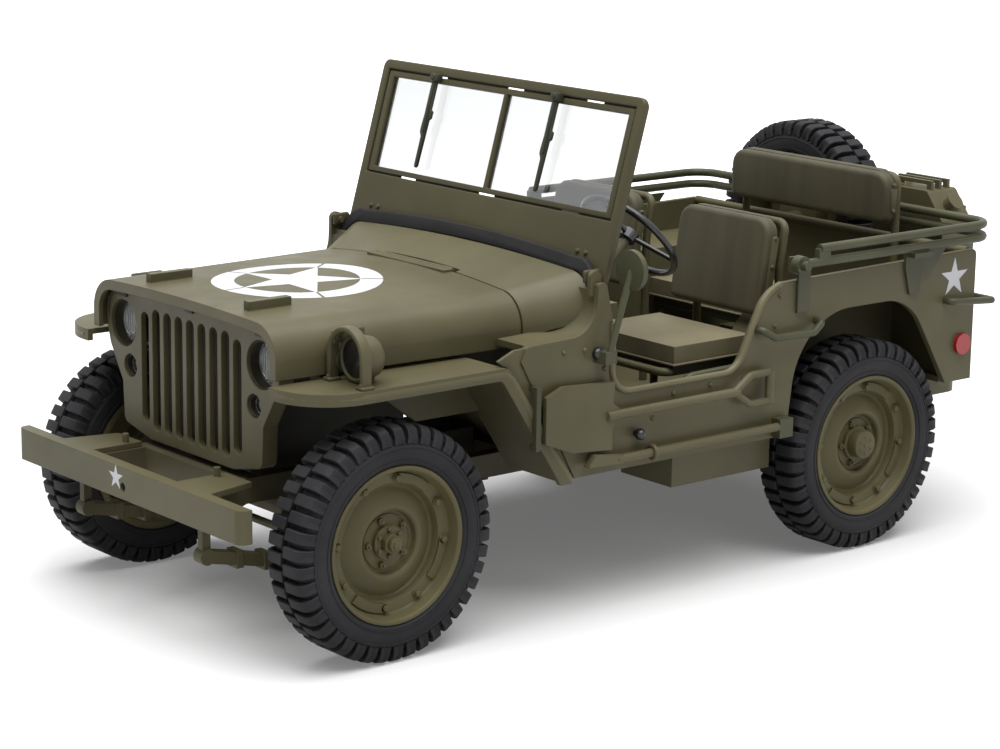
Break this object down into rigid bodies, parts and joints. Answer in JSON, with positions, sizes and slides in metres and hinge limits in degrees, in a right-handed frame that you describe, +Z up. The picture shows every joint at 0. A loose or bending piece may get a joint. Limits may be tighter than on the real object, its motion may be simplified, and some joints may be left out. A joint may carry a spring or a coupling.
{
  "type": "scale model of an open army car",
  "caption": "Die-cast scale model of an open four-wheel-drive army car, with a folding windscreen, opening hood, folding top bows and steered front wheels.",
  "frame": {"origin": "on the ground, under the middle of the model's length and width", "axes": "+X forward, +Y to the car's left, +Z up; the wheels stand on Z = 0"},
  "size_m": [0.1866, 0.0891, 0.0904],
  "materials": {
    "olive_paint": "satin",
    "wheel_paint": "satin",
    "chassis_paint": "satin",
    "engine_paint": "satin",
    "seat_covers": "matte",
    "tyre_rubber": "matte",
    "black_rubber": "matte",
    "black_gloss": "gloss",
    "lamp_chrome": "polished",
    "clear_glass": "clear",
    "red_lamp": "gloss"
  },
  "bodies": {
    "body": {"chassis": "chassis_paint", "leaf_springs": "chassis_paint", "front_axle": "chassis_paint", "rear_axle": "chassis_paint", "engine": "engine_paint", "propeller_shafts": "chassis_paint", "exhaust": "engine_paint", "fuel_tank_well": "olive_paint", "front_bumper": "olive_paint", "tail_hook": "olive_paint", "side_left": "olive_paint", "side_right": "olive_paint", "body_floor": "olive_paint", "rear_panel": "olive_paint", "cowl": "olive_paint", "dashboard": "olive_paint", "gasket": "black_rubber", "grille": "olive_paint", "radiator": "engine_paint", "lamp_rims": "lamp_chrome", "lamp_lenses": "clear_glass", "blackout_lamp": "olive_paint", "fender_left": "olive_paint", "fender_right": "olive_paint", "seat_cushions": "seat_covers", "seat_backs": "seat_covers", "seat_frames": "olive_paint", "steering_column": "olive_paint", "levers": "olive_paint", "jerrycan": "olive_paint", "spare_carrier": "olive_paint", "tail_lamps": "red_lamp", "body_brackets": "olive_paint", "shovel": "olive_paint", "axe": "olive_paint", "mirror": "olive_paint", "tyre_spare": "tyre_rubber", "rim_spare": "wheel_paint"},
    "hood": {"hood": "olive_paint"},
    "windscreen": {"windscreen_frame": "olive_paint", "windscreen_glass": "clear_glass", "wipers": "olive_paint"},
    "top_bows": {"top_bows": "olive_paint"},
    "tie_rod": {"tie_rod": "chassis_paint"},
    "knuckle_left": {"knuckle_left": "chassis_paint"},
    "knuckle_right": {"knuckle_right": "chassis_paint"},
    "steering_wheel": {"steering_wheel": "black_gloss"},
    "wheel_front_left": {"tyre_front_left": "tyre_rubber", "rim_front_left": "wheel_paint"},
    "wheel_front_right": {"tyre_front_right": "tyre_rubber", "rim_front_right": "wheel_paint"},
    "wheel_rear_left": {"tyre_rear_left": "tyre_rubber", "rim_rear_left": "wheel_paint"},
    "wheel_rear_right": {"tyre_rear_right": "tyre_rubber", "rim_rear_right": "wheel_paint"}
  },
  "joints": [
    {"name": "hood_hinge", "type": "hinge", "parent": "body", "child": "hood", "pos_m": [0.0308, 0, 0.0583], "axis": [0, -1, 0], "range_deg": [0, 105]},
    {"name": "screen_hinge", "type": "hinge", "parent": "body", "child": "windscreen", "pos_m": [0.0208, 0, 0.06], "axis": [0, -1, 0], "range_deg": [-106, 0]},
    {"name": "bows_pivot", "type": "hinge", "parent": "body", "child": "top_bows", "pos_m": [-0.0267, 0, 0.0577], "axis": [0, 1, 0], "range_deg": [0, 100]},
    {"name": "steer_left", "type": "hinge", "parent": "body", "child": "knuckle_left", "pos_m": [0.0657, 0.03, 0.0203], "axis": [0, 0, 1], "range_deg": [-24, 24]},
    {"name": "steer_right", "type": "hinge", "parent": "body", "child": "knuckle_right", "pos_m": [0.0657, -0.03, 0.0203], "axis": [0, 0, 1], "range_deg": [-24, 24]},
    {"name": "steering_wheel_turn", "type": "hinge", "parent": "body", "child": "steering_wheel", "pos_m": [-0.0045, 0.0188, 0.0621], "axis": [-0.7431, 0, 0.6691], "range_deg": [-62, 62]},
    {"name": "tie_rod_slide", "type": "slide", "parent": "body", "child": "tie_rod", "axis": [0, 1, 0], "range_m": [-0.0036, 0.0036]},
    {"name": "spin_front_left", "type": "hinge", "parent": "knuckle_left", "child": "wheel_front_left", "pos_m": [0.0657, 0.0363, 0.0203], "axis": [0, 1, 0], "continuous": true},
    {"name": "spin_front_right", "type": "hinge", "parent": "knuckle_right", "child": "wheel_front_right", "pos_m": [0.0657, -0.0363, 0.0203], "axis": [0, 1, 0], "continuous": true},
    {"name": "spin_rear_left", "type": "hinge", "parent": "body", "child": "wheel_rear_left", "pos_m": [-0.0472, 0.0363, 0.0203], "axis": [0, 1, 0], "continuous": true},
    {"name": "spin_rear_right", "type": "hinge", "parent": "body", "child": "wheel_rear_right", "pos_m": [-0.0472, -0.0363, 0.0203], "axis": [0, 1, 0], "continuous": true}
  ],
  "couplings": [
    {"joint": "steer_right", "follows": "steer_left", "ratio": 1},
    {"joint": "steering_wheel_turn", "follows": "steer_left", "ratio": 2.5},
    {"joint": "tie_rod_slide", "follows": "steer_left", "m_per_rad": 0.007962}
  ]
}
